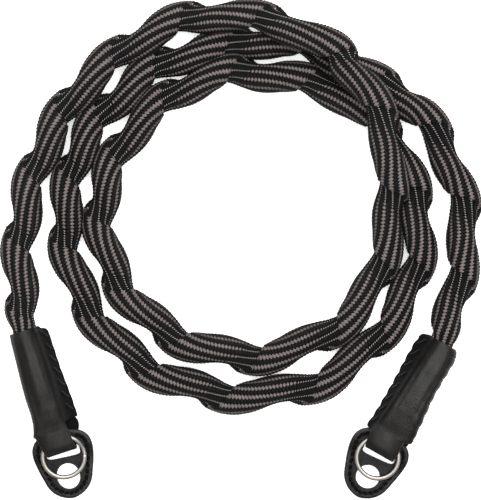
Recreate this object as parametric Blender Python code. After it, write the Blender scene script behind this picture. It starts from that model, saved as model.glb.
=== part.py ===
"""Coiled camera strap, lying flat in its loops. A curly woven cord ends in two leather sleeves,
and each sleeve's tab folds round a split ring and the bridge of a small leather pad.

Metres, +Z up. The strap lies on z = 0, with the origin under the middle of its outline.
"""

import math

import bmesh
import bpy
from mathutils import Vector

# Clearance between pieces that lie against each other
GAP = 0.0003

# Cord: a round braid whose centre line winds as a corkscrew round the route
CORD_DIAMETER = 0.0083
CURL = 0.0014
SQUEEZE = 0.82
POINTS_PER_TURN = 8
CORD_BEVEL_RESOLUTION = 3
FADE_START = 0.90
FADE_LENGTH = 0.35

# Leather sleeve and its tab
LEATHER = 0.0012
SLEEVE_LENGTH = 0.0412
SHOULDER_WIDTH = 0.0152
FLANGE_REACH = 0.0078
FLANGE_THICKNESS = 0.0026
FLANGE_START = 0.0015
FLANGE_END = 0.0318
TAB_WIDTH = 0.0100
CORD_OFFSET = 0.0006
BLOCK_LENGTH = 0.0060
LOOP_SLACK = 0.0004

# Leather pad under the ring
PAD_WIDTH = 0.0194
PAD_ABOVE_FOLD = 0.0075
PAD_BELOW_FOLD = 0.0148
PAD_THICKNESS = 0.0018
PAD_EDGE = 0.0003
PAD_TAPER = 0.05
PAD_BEND_END = 0.0040
SLOT_SHOWING = 0.0016
HOLE_CENTRE = 0.0078
HOLE_WIDTH = 0.0076
HOLE_LENGTH = 0.0080

# Split ring: two flat laps of wire with a step between them
RING_DIAMETER = 0.0147
RING_WIRE = 0.0013
RING_LAP = 0.0006
RING_LAP_GAP = 0.0002
RING_BELOW_FOLD = 0.0013
RING_EDGE = 0.00015
RING_STEP = math.radians(50)
RING_STEPS_PER_LAP = 36
RING_SPLIT = math.radians(35)

# Each end: side name, sleeve mouth, lean of the sleeve and of the pad from straight down,
# and the side of the sleeve that its seam flange is on
ENDS = (
    ("left", Vector((-0.0698, -0.0259)), 18.1, 12.5, 1),
    ("right", Vector((0.0651, -0.0298)), -29.9, -25.0, -1),
)

# The cord's route between the sleeves: corkscrew turn, x, y and lift in cord diameters
ROUTE = (
    (1, -0.0700, -0.0235, 0),
    (2, -0.0705, -0.0015, 0),
    (3, -0.0675, 0.0205, 0),
    (4, -0.0585, 0.0415, 0.15),
    (4.5, -0.0515, 0.0505, 0.45),
    (5, -0.0430, 0.0595, 0.35),
    (5.5, -0.0330, 0.0670, 0.4),
    (6, -0.0220, 0.0725, 0.3),
    (6.5, -0.0100, 0.0750, 0.5),
    (7, 0.0030, 0.0740, 0.8),
    (7.5, 0.0145, 0.0715, 1.25),
    (8, 0.0280, 0.0640, 1.35),
    (8.5, 0.0345, 0.0580, 1.3),
    (9, 0.0415, 0.0480, 1.25),
    (9.5, 0.0470, 0.0350, 1.2),
    (10, 0.0475, 0.0230, 1.0),
    (10.5, 0.0480, 0.0120, 0.45),
    (11, 0.0460, 0.0000, 0.05),
    (11.5, 0.0420, -0.0120, 0),
    (12, 0.0335, -0.0225, 0),
    (13, 0.0085, -0.0340, 0),
    (14, -0.0170, -0.0300, 0),
    (15, -0.0360, -0.0155, 0),
    (16, -0.0445, 0.0060, 0),
    (17, -0.0410, 0.0265, 0),
    (18, -0.0270, 0.0450, 0),
    (19, -0.0060, 0.0560, 0),
    (20, 0.0180, 0.0540, 0),
    (20.5, 0.0295, 0.0505, 0),
    (21, 0.0420, 0.0420, 0),
    (21.5, 0.0495, 0.0335, 0),
    (22, 0.0545, 0.0230, 0),
    (22.5, 0.0570, 0.0110, 0),
    (23, 0.0570, -0.0010, 0),
    (24, 0.0475, -0.0230, 0),
    (25, 0.0270, -0.0415, 0),
    (26, -0.0010, -0.0465, 0),
    (27, -0.0265, -0.0400, 0),
    (28, -0.0455, -0.0240, 0),
    (29, -0.0550, -0.0020, 0),
    (30, -0.0550, 0.0200, 0),
    (31, -0.0470, 0.0400, 0),
    (31.5, -0.0390, 0.0485, 0.05),
    (32, -0.0300, 0.0565, 0),
    (33, -0.0070, 0.0650, 0),
    (34, 0.0185, 0.0660, 0),
    (34.5, 0.0300, 0.0610, 0),
    (35, 0.0400, 0.0555, 0),
    (35.5, 0.0515, 0.0490, 0),
    (36, 0.0580, 0.0425, 0),
    (36.5, 0.0660, 0.0305, 0),
    (37, 0.0695, 0.0200, 0),
    (37.5, 0.0720, 0.0070, 0),
    (38, 0.0705, -0.0040, 0),
    (38.5, 0.0680, -0.0170, 0),
    (39, 0.0650, -0.0275, 0),
)
LAST_TURN = ROUTE[-1][0] + 1

# Turns, measured from a cord end, at which it lies at four depths inside its sleeve
TURNS_IN_SLEEVE = ((0, 1.0), (0.4, 0.58), (0.75, 0.16), (0.87, 0.02))

# Sizes worked out from the ones above
CORD_RADIUS = CORD_DIAMETER / 2
SQUEEZED_RADIUS = CORD_RADIUS * SQUEEZE
BULGE = SQUEEZED_RADIUS + GAP + LEATHER
PAD_LIFT = LEATHER + GAP
TURN_AT_FOLD = math.radians(max(abs(end[2] - end[3]) for end in ENDS))
SLOT_BACK = LEATHER + GAP + TAB_WIDTH / 2 * math.sin(TURN_AT_FOLD)
SLOT_WIDTH = TAB_WIDTH + 2 * GAP + 2 * LEATHER * math.sin(TURN_AT_FOLD)
LOOP_LENGTH = PAD_ABOVE_FOLD + GAP + LOOP_SLACK
CORD_DEPTH = SLEEVE_LENGTH - LOOP_LENGTH - BLOCK_LENGTH
RING_HEIGHT = 2 * RING_LAP + RING_LAP_GAP
RING_RADIUS = (RING_DIAMETER - RING_WIRE) / 2
RING_TAN = PAD_LIFT / (RING_BELOW_FOLD + RING_DIAMETER / 2 + SLOT_BACK)
RING_CENTRE_Z = (
    PAD_THICKNESS + GAP + RING_HEIGHT / 2 + RING_TAN * RING_DIAMETER / 2
)
LOOP_TOP = RING_CENTRE_Z + RING_TAN * RING_DIAMETER / 2 + RING_HEIGHT / 2 + GAP
TAB_HEIGHT = LOOP_TOP + LEATHER


def clear_scene():
    for old in list(bpy.data.objects):
        bpy.data.objects.remove(old)


def material(name, colour, roughness, metallic=0.0):
    made = bpy.data.materials.new(name)
    made.use_nodes = True
    shader = made.node_tree.nodes["Principled BSDF"]
    shader.inputs["Base Color"].default_value = (*colour, 1)
    shader.inputs["Roughness"].default_value = roughness
    shader.inputs["Metallic"].default_value = metallic
    made.diffuse_color = (*colour, 1)
    return made


def add_object(name, data, made=None):
    obj = bpy.data.objects.new(name, data)
    bpy.context.scene.collection.objects.link(obj)
    if made:
        data.materials.append(made)
    return obj


def loft(name, sections):
    """A closed mesh through sections that have the same number of points."""
    mesh = bpy.data.meshes.new(name)
    shape = bmesh.new()
    rings = [[shape.verts.new(point) for point in section] for section in sections]
    count = len(rings[0])
    for before, after in zip(rings, rings[1:]):
        for i in range(count):
            j = (i + 1) % count
            shape.faces.new((before[i], before[j], after[j], after[i]))
    shape.faces.new(rings[0])
    shape.faces.new(rings[-1])
    bmesh.ops.recalc_face_normals(shape, faces=shape.faces)
    shape.to_mesh(mesh)
    shape.free()
    return mesh


def smooth_shading(mesh):
    mesh.shade_smooth()
    mesh.set_sharp_from_angle(angle=math.radians(35))


def boolean(obj, helper, operation):
    """Joins a hidden helper to an object, or cuts it away."""
    helper.hide_render = True
    helper.display_type = "WIRE"
    helper.parent = obj
    modifier = obj.modifiers.new(helper.name, "BOOLEAN")
    modifier.operation = operation
    modifier.object = helper


def heading(lean):
    return math.radians(lean - 90)


def place(obj, end, pad_frame):
    """Puts an object in the sleeve's frame at the mouth, or in the pad's frame at the fold."""
    _, mouth, sleeve_lean, pad_lean, _ = end
    along = Vector((math.cos(heading(sleeve_lean)), math.sin(heading(sleeve_lean))))
    at = mouth + along * (SLEEVE_LENGTH if pad_frame else 0)
    obj.location = (at.x, at.y, 0)
    obj.rotation_euler.z = heading(pad_lean if pad_frame else sleeve_lean)


def in_sleeve(end, along, across, height):
    """World place of a point in the sleeve's frame, with across towards its flange."""
    _, mouth, lean, _, side = end
    forward = Vector((math.cos(heading(lean)), math.sin(heading(lean))))
    sideways = Vector((-forward.y, forward.x)) * side
    at = mouth + forward * along + sideways * across
    return Vector((at.x, at.y, height))


def route_rows():
    """The whole route, with the rows inside both sleeves: (turn, place)."""
    height = LEATHER + GAP + SQUEEZED_RADIUS
    rows = []
    for turn, x, y, lift in ROUTE:
        z = CORD_RADIUS + CURL + lift * CORD_DIAMETER
        rows.append((turn, Vector((x, y, z))))
    for turn, depth in reversed(TURNS_IN_SLEEVE):
        place_in = [in_sleeve(end, CORD_DEPTH * depth, CORD_OFFSET, height) for end in ENDS]
        rows.insert(0, (turn, place_in[0]))
        rows.append((LAST_TURN - turn, place_in[1]))
    return rows


def tangent(rows, k):
    if k in (0, len(rows) - 1):
        near = rows[min(k, len(rows) - 2)]
        far = rows[min(k, len(rows) - 2) + 1]
        return (far[1] - near[1]) / (far[0] - near[0])
    before = rows[k][0] - rows[k - 1][0]
    after = rows[k + 1][0] - rows[k][0]
    slope_before = (rows[k][1] - rows[k - 1][1]) / before
    slope_after = (rows[k + 1][1] - rows[k][1]) / after
    return (slope_before * after + slope_after * before) / (before + after)


def route_point(rows, turn):
    """A smooth curve through the rows, read at one turn."""
    k = max(i for i in range(len(rows) - 1) if rows[i][0] <= turn)
    span = rows[k + 1][0] - rows[k][0]
    t = (turn - rows[k][0]) / span
    point = rows[k][1] * (2 * t**3 - 3 * t**2 + 1)
    point = point + rows[k + 1][1] * (3 * t**2 - 2 * t**3)
    point = point + tangent(rows, k) * span * (t**3 - 2 * t**2 + t)
    return point + tangent(rows, k + 1) * span * (t**3 - t**2)


def cord_points():
    """Corkscrew centre line: (place, radius share) from one cord end to the other."""
    rows = route_rows()
    points = []
    for i in range(LAST_TURN * POINTS_PER_TURN + 1):
        turn = i / POINTS_PER_TURN
        centre = route_point(rows, turn)
        ahead = route_point(rows, min(turn + 0.02, LAST_TURN))
        behind = route_point(rows, max(turn - 0.02, 0))
        travel = (ahead - behind).xy.normalized()
        right = Vector((travel.y, -travel.x, 0))
        from_end = min(turn, LAST_TURN - turn)
        fade = min(max((from_end - FADE_START) / FADE_LENGTH, 0), 1)
        fade = fade * fade * (3 - 2 * fade)
        share = SQUEEZE + (1 - SQUEEZE) * fade
        centre.z = max(centre.z, CORD_RADIUS * share + CURL * fade)
        angle = 2 * math.pi * turn
        swing = right * math.cos(angle) + Vector((0, 0, 1)) * math.sin(angle)
        points.append((centre - swing * CURL * fade, share))
    return points


def add_cord():
    curve = bpy.data.curves.new("cord", "CURVE")
    curve.dimensions = "3D"
    curve.bevel_depth = CORD_RADIUS
    curve.bevel_resolution = CORD_BEVEL_RESOLUTION
    curve.use_fill_caps = True
    spline = curve.splines.new("POLY")
    points = cord_points()
    spline.points.add(len(points) - 1)
    for knot, (at, share) in zip(spline.points, points):
        knot.co = (*at, 1)
        knot.radius = share
    add_object("cord", curve, material("woven cord", (0.03, 0.028, 0.028), 0.8))


def rounded_section(along, half_width, low, high, power, centre, count=20):
    """A rounded box across the sleeve, from nearly a circle to nearly a rectangle."""
    points = []
    for i in range(count):
        angle = 2 * math.pi * (i + 0.5) / count
        c = math.cos(angle)
        s = math.sin(angle)
        y = math.copysign(abs(c) ** (2 / power), c) * half_width + centre
        z = math.copysign(abs(s) ** (2 / power), s) * (high - low) / 2
        points.append(Vector((along, y, z + (high + low) / 2)))
    return points


def sleeve_body(side):
    """Leather wrapped round the cord, widening to a shoulder and then narrowing to the tab."""
    shoulder = SLEEVE_LENGTH - LOOP_LENGTH - LEATHER
    tab = TAB_WIDTH / 2
    wide = SHOULDER_WIDTH / 2
    offset = CORD_OFFSET * side
    tall = 2 * BULGE
    pocket = CORD_DEPTH + GAP
    middle = (BULGE + wide) / 2
    # Along, half width, lowest and highest point, squareness, offset towards the flange
    rows = (
        (0, BULGE, 0, tall, 2, offset),
        (pocket * 0.5, middle, 0, tall, 2.2, offset),
        (pocket, middle + (wide - middle) * 0.6, 0, tall, 2.6, offset),
        (shoulder, wide, 0, TAB_HEIGHT, 4, 0),
        (shoulder + LEATHER, (wide + tab) / 2, 0, TAB_HEIGHT, 5, 0),
        (shoulder + 2 * LEATHER, tab, 0, TAB_HEIGHT, 6, 0),
        (SLEEVE_LENGTH - LEATHER, tab, 0, TAB_HEIGHT, 6, 0),
        (SLEEVE_LENGTH - LEATHER * 0.4, tab, LEATHER * 0.4, TAB_HEIGHT - LEATHER * 0.4, 6, 0),
        (SLEEVE_LENGTH, tab - LEATHER * 0.3, LEATHER, TAB_HEIGHT - LEATHER, 6, 0),
    )
    return [rounded_section(*row) for row in rows]


def sleeve_flange(side):
    """The flat seam where both leather layers are sewn together beside the cord."""
    edge = LEATHER * 0.25
    profile = (
        (0, -edge),
        (FLANGE_REACH - edge, -edge),
        (FLANGE_REACH, 0),
        (FLANGE_REACH, FLANGE_THICKNESS - edge),
        (FLANGE_REACH - edge, FLANGE_THICKNESS),
        (0, FLANGE_THICKNESS),
    )
    return [
        [Vector((along, side * y, max(z, 0))) for y, z in profile]
        for along in (FLANGE_START, FLANGE_END)
    ]


def pocket_for_cord(side):
    radius = SQUEEZED_RADIUS + GAP
    low = LEATHER
    high = LEATHER + 2 * radius
    ends = (-LEATHER, CORD_DEPTH + GAP)
    return [rounded_section(s, radius, low, high, 2, CORD_OFFSET * side) for s in ends]


def box_sections(low, high):
    return [
        [
            Vector((x, low.y, low.z)),
            Vector((x, high.y, low.z)),
            Vector((x, high.y, high.z)),
            Vector((x, low.y, high.z)),
        ]
        for x in (low.x, high.x)
    ]


def add_sleeve(end, made):
    name, side = end[0] + "_sleeve", end[4]
    body = loft(name, sleeve_body(side))
    smooth_shading(body)
    sleeve = add_object(name, body, made)
    flange = add_object(name + "_flange", loft(name + "_flange", sleeve_flange(side)))
    boolean(sleeve, flange, "UNION")
    pocket = add_object(name + "_pocket", loft(name + "_pocket", pocket_for_cord(side)))
    boolean(sleeve, pocket, "DIFFERENCE")
    low = Vector((SLEEVE_LENGTH - LOOP_LENGTH, -SHOULDER_WIDTH, LEATHER))
    high = Vector((SLEEVE_LENGTH - LEATHER, SHOULDER_WIDTH, LOOP_TOP))
    loop = add_object(name + "_loop", loft(name + "_loop", box_sections(low, high)))
    boolean(sleeve, loop, "DIFFERENCE")
    place(sleeve, end, pad_frame=False)


def pad_half_width(along):
    """Half the egg's width at a distance below the fold, negative above it."""
    length = PAD_BELOW_FOLD if along > 0 else PAD_ABOVE_FOLD
    share = min(abs(along) / length, 1)
    half = PAD_WIDTH / 2 * math.sqrt(1 - share**2)
    if along > 0:
        half -= PAD_WIDTH / 2 * PAD_TAPER * math.sin(math.pi * share)
    return half


def pad_rise(along):
    """How far the pad's underside is lifted: over the tab's back layer, then down to rest flat."""
    share = (PAD_BEND_END - along) / (PAD_BEND_END + SLOT_BACK)
    return PAD_LIFT * min(max(share, 0), 1)


def pad_sections():
    steps = 12
    tightest = 5
    along_all = [
        -PAD_ABOVE_FOLD * math.cos(math.radians(tightest + (90 - tightest) * i / steps))
        for i in range(steps)
    ]
    along_all += [
        PAD_BELOW_FOLD * math.sin(math.radians((90 - tightest) * i / steps))
        for i in range(steps + 1)
    ]
    sections = []
    for along in along_all:
        half = pad_half_width(along)
        low = pad_rise(along)
        high = low + PAD_THICKNESS
        edge = min(PAD_EDGE, half / 2)
        corners = (
            (half - edge, low),
            (half, low + edge),
            (half, high - edge),
            (half - edge, high),
        )
        right = [Vector((along, y, z)) for y, z in corners]
        left = [Vector((along, -y, z)) for y, z in reversed(corners)]
        sections.append(right + left)
    return sections


def oval_cutter(centre, half_length, half_width, power, count=28):
    """An upright closed prism with an oval outline, through the pad's whole height."""
    outline = []
    for i in range(count):
        angle = 2 * math.pi * (i + 0.5) / count
        c = math.cos(angle)
        s = math.sin(angle)
        x = math.copysign(abs(c) ** (2 / power), c) * half_length + centre
        y = math.copysign(abs(s) ** (2 / power), s) * half_width
        outline.append((x, y))
    heights = (-PAD_THICKNESS, PAD_LIFT + 2 * PAD_THICKNESS)
    return [[Vector((x, y, z)) for x, y in outline] for z in heights]


def add_pad(end, made):
    name = end[0] + "_pad"
    body = loft(name, pad_sections())
    smooth_shading(body)
    pad = add_object(name, body, made)
    slot_length = SLOT_BACK + SLOT_SHOWING
    slot_middle = (SLOT_SHOWING - SLOT_BACK) / 2
    slot = oval_cutter(slot_middle, slot_length / 2, SLOT_WIDTH / 2, 8)
    hole = oval_cutter(HOLE_CENTRE, HOLE_LENGTH / 2, HOLE_WIDTH / 2, 2)
    for word, cutter in (("slot", slot), ("hole", hole)):
        helper = add_object(f"{name}_{word}", loft(f"{name}_{word}", cutter))
        boolean(pad, helper, "DIFFERENCE")
    place(pad, end, pad_frame=True)


def ring_sections():
    """Two flat laps of wire, one on the other, joined by a step."""
    pitch = RING_LAP + RING_LAP_GAP
    half_gap = RING_WIRE / RING_RADIUS / 2
    last = 4 * math.pi - RING_STEP - half_gap
    count = round(last / (2 * math.pi) * RING_STEPS_PER_LAP)
    sections = []
    for i in range(count + 1):
        angle = last * i / count
        climb = (angle - (2 * math.pi - RING_STEP)) / RING_STEP
        climb = min(max(climb, 0), 1)
        middle = pitch * (climb * climb * (3 - 2 * climb) - 0.5)
        section = []
        for side, up in ((1, 1), (-1, 1), (-1, -1), (1, -1)):
            wide = RING_RADIUS + side * RING_WIRE / 2
            tall = middle + up * RING_LAP / 2
            corner = [(wide - side * RING_EDGE, tall), (wide, tall - up * RING_EDGE)]
            if side * up > 0:
                corner.reverse()
            section += corner
        sections.append(
            [Vector((r * math.cos(angle), r * math.sin(angle), z)) for r, z in section]
        )
    return sections


def add_ring(end, made):
    name, side = end[0] + "_ring", end[4]
    body = loft(name, ring_sections())
    smooth_shading(body)
    ring = add_object(name, body, made)
    seat = add_object(name + "_seat", None)
    place(seat, end, pad_frame=True)
    ring.parent = seat
    ring.location = (RING_BELOW_FOLD, 0, RING_CENTRE_Z)
    ring.rotation_mode = "ZYX"
    ring.rotation_euler = (0, math.atan(RING_TAN), RING_SPLIT * side)


def build():
    clear_scene()
    add_cord()
    for end in ENDS:
        name = end[0]
        leather = material(name + " sleeve leather", (0.035, 0.033, 0.033), 0.55)
        pad_leather = material(name + " pad leather", (0.030, 0.029, 0.030), 0.6)
        nickel = material(name + " ring nickel", (0.62, 0.60, 0.57), 0.25, 1.0)
        add_sleeve(end, leather)
        add_pad(end, pad_leather)
        add_ring(end, nickel)


build()
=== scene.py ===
import math

import bmesh
import bpy
import numpy as np
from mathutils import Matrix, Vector


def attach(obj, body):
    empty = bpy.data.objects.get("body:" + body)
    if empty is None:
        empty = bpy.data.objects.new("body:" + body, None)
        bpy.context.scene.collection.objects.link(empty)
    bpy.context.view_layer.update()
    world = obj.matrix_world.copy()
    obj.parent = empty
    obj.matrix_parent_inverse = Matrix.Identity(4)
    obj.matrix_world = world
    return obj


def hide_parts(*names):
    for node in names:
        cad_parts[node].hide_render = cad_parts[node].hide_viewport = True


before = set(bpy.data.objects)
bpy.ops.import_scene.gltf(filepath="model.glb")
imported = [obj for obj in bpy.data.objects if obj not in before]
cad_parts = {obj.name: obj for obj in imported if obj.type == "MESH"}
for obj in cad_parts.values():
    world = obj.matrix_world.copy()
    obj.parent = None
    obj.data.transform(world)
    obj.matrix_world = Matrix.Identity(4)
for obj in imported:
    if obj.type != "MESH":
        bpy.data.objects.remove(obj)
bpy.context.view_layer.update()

# Table, lamps and camera. The strap lies on a white table that is faintly lit from within, so
# it shows hardly any shadow, under a large soft lamp, and is looked at from straight above.
TABLE_HALF = 3.0
TABLE_GLOW = 0.45
ROOM_LIGHT = 0.42
VIEW_HEIGHT = 0.160
LENS = 200
SENSOR = 36
LOOK_HEIGHT = 0.006


def add_object(name, data):
    made = bpy.data.objects.new(name, data)
    bpy.context.scene.collection.objects.link(made)
    return made


def new_material(name, colour, roughness, specular=0.5, metallic=0.0):
    made = bpy.data.materials.new(name)
    made.use_nodes = True
    shader = made.node_tree.nodes["Principled BSDF"]
    shader.inputs["Base Color"].default_value = (*colour, 1)
    shader.inputs["Roughness"].default_value = roughness
    shader.inputs["Specular IOR Level"].default_value = specular
    shader.inputs["Metallic"].default_value = metallic
    return made


table_mesh = bpy.data.meshes.new("table")
table_corners = [
    (-TABLE_HALF, -TABLE_HALF, 0), (TABLE_HALF, -TABLE_HALF, 0),
    (TABLE_HALF, TABLE_HALF, 0), (-TABLE_HALF, TABLE_HALF, 0),
]
table_mesh.from_pydata(table_corners, [], [(0, 1, 2, 3)])
table_top = add_object("table_top", table_mesh)

table_paint = new_material("white table", (0.94, 0.94, 0.94), 0.9, 0.1)
paint = table_paint.node_tree.nodes["Principled BSDF"]
paint.inputs["Emission Color"].default_value = (1, 1, 1, 1)
paint.inputs["Emission Strength"].default_value = TABLE_GLOW
table_mesh.materials.append(table_paint)


def soft_lamp(name, place, size, power):
    light = bpy.data.lights.new(name, "AREA")
    light.shape = "SQUARE"
    light.size = size
    light.energy = power
    lamp = add_object(name, light)
    lamp.location = place
    lamp.rotation_euler = (-Vector(place)).to_track_quat("-Z", "Y").to_euler()


soft_lamp("overhead_lamp", (0.10, 0.18, 1.4), 1.3, 40)
soft_lamp("side_lamp", (1.2, 0.8, 0.9), 0.8, 4)

surroundings = bpy.data.worlds.new("white room")
surroundings.use_nodes = True
room = surroundings.node_tree.nodes["Background"]
room.inputs["Color"].default_value = (1, 1, 1, 1)
room.inputs["Strength"].default_value = ROOM_LIGHT
bpy.context.scene.world = surroundings
bpy.context.scene.view_settings.view_transform = "Standard"

lens = bpy.data.cameras.new("camera")
lens.lens = LENS
lens.sensor_width = SENSOR
camera = add_object("camera", lens)
camera.location = (0, 0, LOOK_HEIGHT + VIEW_HEIGHT * LENS / SENSOR)
bpy.context.scene.camera = camera

# The cord: a woven tube, 8.8 mm thick, over a core that curls like a corkscrew, so the tube
# winds round its own route and is creased once in every turn. Both ends go into the sleeves.
CORD_THICKNESS = 0.0088
CORD_SOLID = 0.0083
CURL = 0.0014
SQUEEZE = 0.82
CORD_IN_SLEEVE = 0.0270
CORD_HEIGHT_IN_SLEEVE = 0.0049
CORD_OFFSET = 0.0006
FADE_START = 0.90
FADE_LENGTH = 0.35
ROWS_OF_STITCHES = 10
FIRST_ROW = math.radians(22)
STITCH_PITCH = 0.00113
ROW_SWAY = 0.31
POINTS_PER_TURN = 96
RINGS_PER_TURN = 48
POINTS_AROUND = 50
RIB_DEPTH = 0.00013
RIB_DEPTH_IN_BAND = 0.00006
OUTER_SWELL = 0.3
OUTER_PINCH = 0.6
TABLE_CLEARANCE = 0.00005

# Sleeve mouth, lean of the sleeve and of its pad from straight down, and its flange's side
ends = {
    "left": ((-0.0698, -0.0259), 18.1, 12.5, 1),
    "right": ((0.0651, -0.0298), -29.9, -25.0, -1),
}

# Turn, x, y, and lift in cord thicknesses
route = [
    (1, -0.0693, -0.0235, 0), (2, -0.0707, -0.0015, 0), (3, -0.0673, 0.0205, 0),
    (4, -0.0582, 0.0412, 0.15), (4.5, -0.0515, 0.0505, 0.45), (5, -0.0428, 0.0592, 0.35),
    (5.5, -0.0328, 0.0666, 0.4), (6, -0.0218, 0.0721, 0.3), (6.5, -0.0100, 0.0747, 0.5),
    (7, 0.0030, 0.0736, 0.8), (7.5, 0.0145, 0.0711, 1.25), (8, 0.0280, 0.0640, 1.35),
    (8.5, 0.0345, 0.0580, 1.3), (9, 0.0415, 0.0480, 1.25), (9.5, 0.0466, 0.0350, 1.2),
    (10, 0.0472, 0.0230, 1.0), (10.5, 0.0480, 0.0120, 0.45), (11, 0.0460, 0.0000, 0.05),
    (11.5, 0.0420, -0.0120, 0), (12, 0.0335, -0.0225, 0), (13, 0.0085, -0.0338, 0),
    (14, -0.0168, -0.0297, 0), (15, -0.0357, -0.0152, 0), (16, -0.0445, 0.0060, 0),
    (17, -0.0413, 0.0267, 0), (18, -0.0272, 0.0455, 0), (19, -0.0060, 0.0564, 0),
    (20, 0.0181, 0.0544, 0), (20.5, 0.0297, 0.0509, 0), (21, 0.0422, 0.0422, 0),
    (21.5, 0.0495, 0.0335, 0), (22, 0.0542, 0.0229, 0), (22.5, 0.0570, 0.0110, 0),
    (23, 0.0570, -0.0010, 0), (24, 0.0477, -0.0233, 0), (25, 0.0271, -0.0416, 0),
    (26, -0.0010, -0.0465, 0), (27, -0.0263, -0.0397, 0), (28, -0.0452, -0.0238, 0),
    (29, -0.0550, -0.0020, 0), (30, -0.0550, 0.0200, 0), (31, -0.0470, 0.0400, 0),
    (31.5, -0.0390, 0.0485, 0.05), (32, -0.0300, 0.0565, 0), (33, -0.0070, 0.0650, 0),
    (34, 0.0185, 0.0660, 0), (34.5, 0.0300, 0.0610, 0), (35, 0.0400, 0.0555, 0),
    (35.5, 0.0515, 0.0490, 0), (36, 0.0582, 0.0427, 0), (36.5, 0.0660, 0.0305, 0),
    (37, 0.0695, 0.0200, 0), (37.5, 0.0720, 0.0070, 0), (38, 0.0705, -0.0040, 0),
    (38.5, 0.0683, -0.0171, 0), (39, 0.0650, -0.0275, 0),
]
LAST_TURN = route[-1][0] + 1
TURNS_IN_SLEEVE = ((0, 1.0), (0.4, 0.58), (0.75, 0.16), (0.87, 0.02))


def axes_of(lean, side):
    """Direction down a sleeve or a pad, and direction across it towards the flange's side."""
    heading = math.radians(lean - 90)
    along = np.array([math.cos(heading), math.sin(heading)])
    return along, np.array([-along[1], along[0]]) * side


def sleeve_axes(end):
    """Mouth, direction down the sleeve, and direction across it towards its flange."""
    mouth, lean, _, side = ends[end]
    return np.array(mouth), *axes_of(lean, side)


def cord_rows():
    low = CORD_SOLID / 2 + CURL
    rows = [(turn, x, y, low + lift * CORD_SOLID) for turn, x, y, lift in route]
    for turn, depth in reversed(TURNS_IN_SLEEVE):
        inside = []
        for end in ends:
            mouth, along, across = sleeve_axes(end)
            inside.append(mouth + along * CORD_IN_SLEEVE * depth + across * CORD_OFFSET)
        rows.insert(0, (turn, *inside[0], CORD_HEIGHT_IN_SLEEVE))
        rows.append((LAST_TURN - turn, *inside[1], CORD_HEIGHT_IN_SLEEVE))
    return np.array(rows)


def smooth_line(rows, turns):
    """A smooth curve through the rows, read at the given turns."""
    at, points = rows[:, 0], rows[:, 1:]
    gaps = np.diff(at)[:, None]
    slopes = np.diff(points, axis=0) / gaps
    middle = (slopes[:-1] * gaps[1:] + slopes[1:] * gaps[:-1]) / (gaps[:-1] + gaps[1:])
    tangents = np.vstack([slopes[:1], middle, slopes[-1:]])
    k = np.clip(np.searchsorted(at, turns, side="right") - 1, 0, len(at) - 2)
    span = gaps[k]
    t = ((turns - at[k])[:, None]) / span
    line = points[k] * (2 * t**3 - 3 * t**2 + 1) + points[k + 1] * (3 * t**2 - 2 * t**3)
    line += tangents[k] * span * (t**3 - 2 * t**2 + t)
    return line + tangents[k + 1] * span * (t**3 - t**2)


def unit(vectors):
    return vectors / np.linalg.norm(vectors, axis=-1, keepdims=True)


def eased(share):
    """A share from 0 to 1 that starts and ends gently."""
    return share * share * (3 - 2 * share)


line_turns = np.linspace(0, LAST_TURN, LAST_TURN * POINTS_PER_TURN + 1)
line = smooth_line(cord_rows(), line_turns)
from_end = np.minimum(line_turns, LAST_TURN - line_turns)
line_fade = eased(np.clip((from_end - FADE_START) / FADE_LENGTH, 0, 1))
line_share = SQUEEZE + (1 - SQUEEZE) * line_fade
line[:, 2] = np.maximum(line[:, 2], CORD_SOLID / 2 * line_share + CURL * line_fade)
travel = np.gradient(line, axis=0)
travel[:, 2] = 0
travel = unit(travel)
right = np.stack([travel[:, 1], -travel[:, 0], np.zeros(len(line))], axis=1)

# The curl trails the count of turns a little, and more after the last crossing
curl_lag = np.interp(line_turns, (0, 33.5, 35, LAST_TURN), (0.03, 0.03, 0.09, 0.09))
turning = 2 * math.pi * (line_turns - curl_lag)[:, None]
swing = right * np.cos(turning) + np.array([0, 0, 1]) * np.sin(turning)
line = line - swing * CURL * line_fade[:, None]
forward = unit(np.gradient(line, axis=0))
line_right = unit(right - forward * (right * forward).sum(axis=1, keepdims=True))
line_up = np.cross(line_right, forward)


def along_line(values, turns):
    """A value or vector that is kept along the cord's line, read at the given turns."""
    if values.ndim == 1:
        return np.interp(turns, line_turns, values)
    return np.stack([np.interp(turns, line_turns, v) for v in values.T], axis=-1)


def row_sway(turns):
    """How far the rows lean round the cord: they run straight on while the cord curls."""
    swinging = np.cos(2 * math.pi * (turns - along_line(curl_lag, turns)))
    return -ROW_SWAY * along_line(line_fade, turns) * swinging


# The pinched band runs askew round the cord: late in the turn, but early on the right side
BAND_LATE = 0.03
BAND_LEAN = 0.13
BAND_START = -0.165
BAND_END = 0.12
BAND_EDGE = 0.03


def pinch_phase(turns, angles):
    """Turns since the middle of the pinched band, from -0.5 to 0.5."""
    wrapped = np.mod(angles, 2 * math.pi)
    early = BAND_LEAN * ((1 + np.cos(wrapped)) / 2) ** 2 - BAND_LATE
    return np.mod(turns - wrapped / (2 * math.pi) - early + 0.5, 1) - 0.5


# The band's crease: the cord swells before it, drops at once and comes back slowly
crease_phase = [-0.5, -0.38, -0.26, -0.19, -0.175, -0.150, -0.10, 0.0, 0.10, 0.2, 0.35, 0.5]
crease_rise = [
    0.00015, 0.00035, 0.00068, 0.00078, 0.00062, -0.00030, -0.00055, -0.00045, -0.00022, 0,
    0.00010, 0.00012,
]


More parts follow.
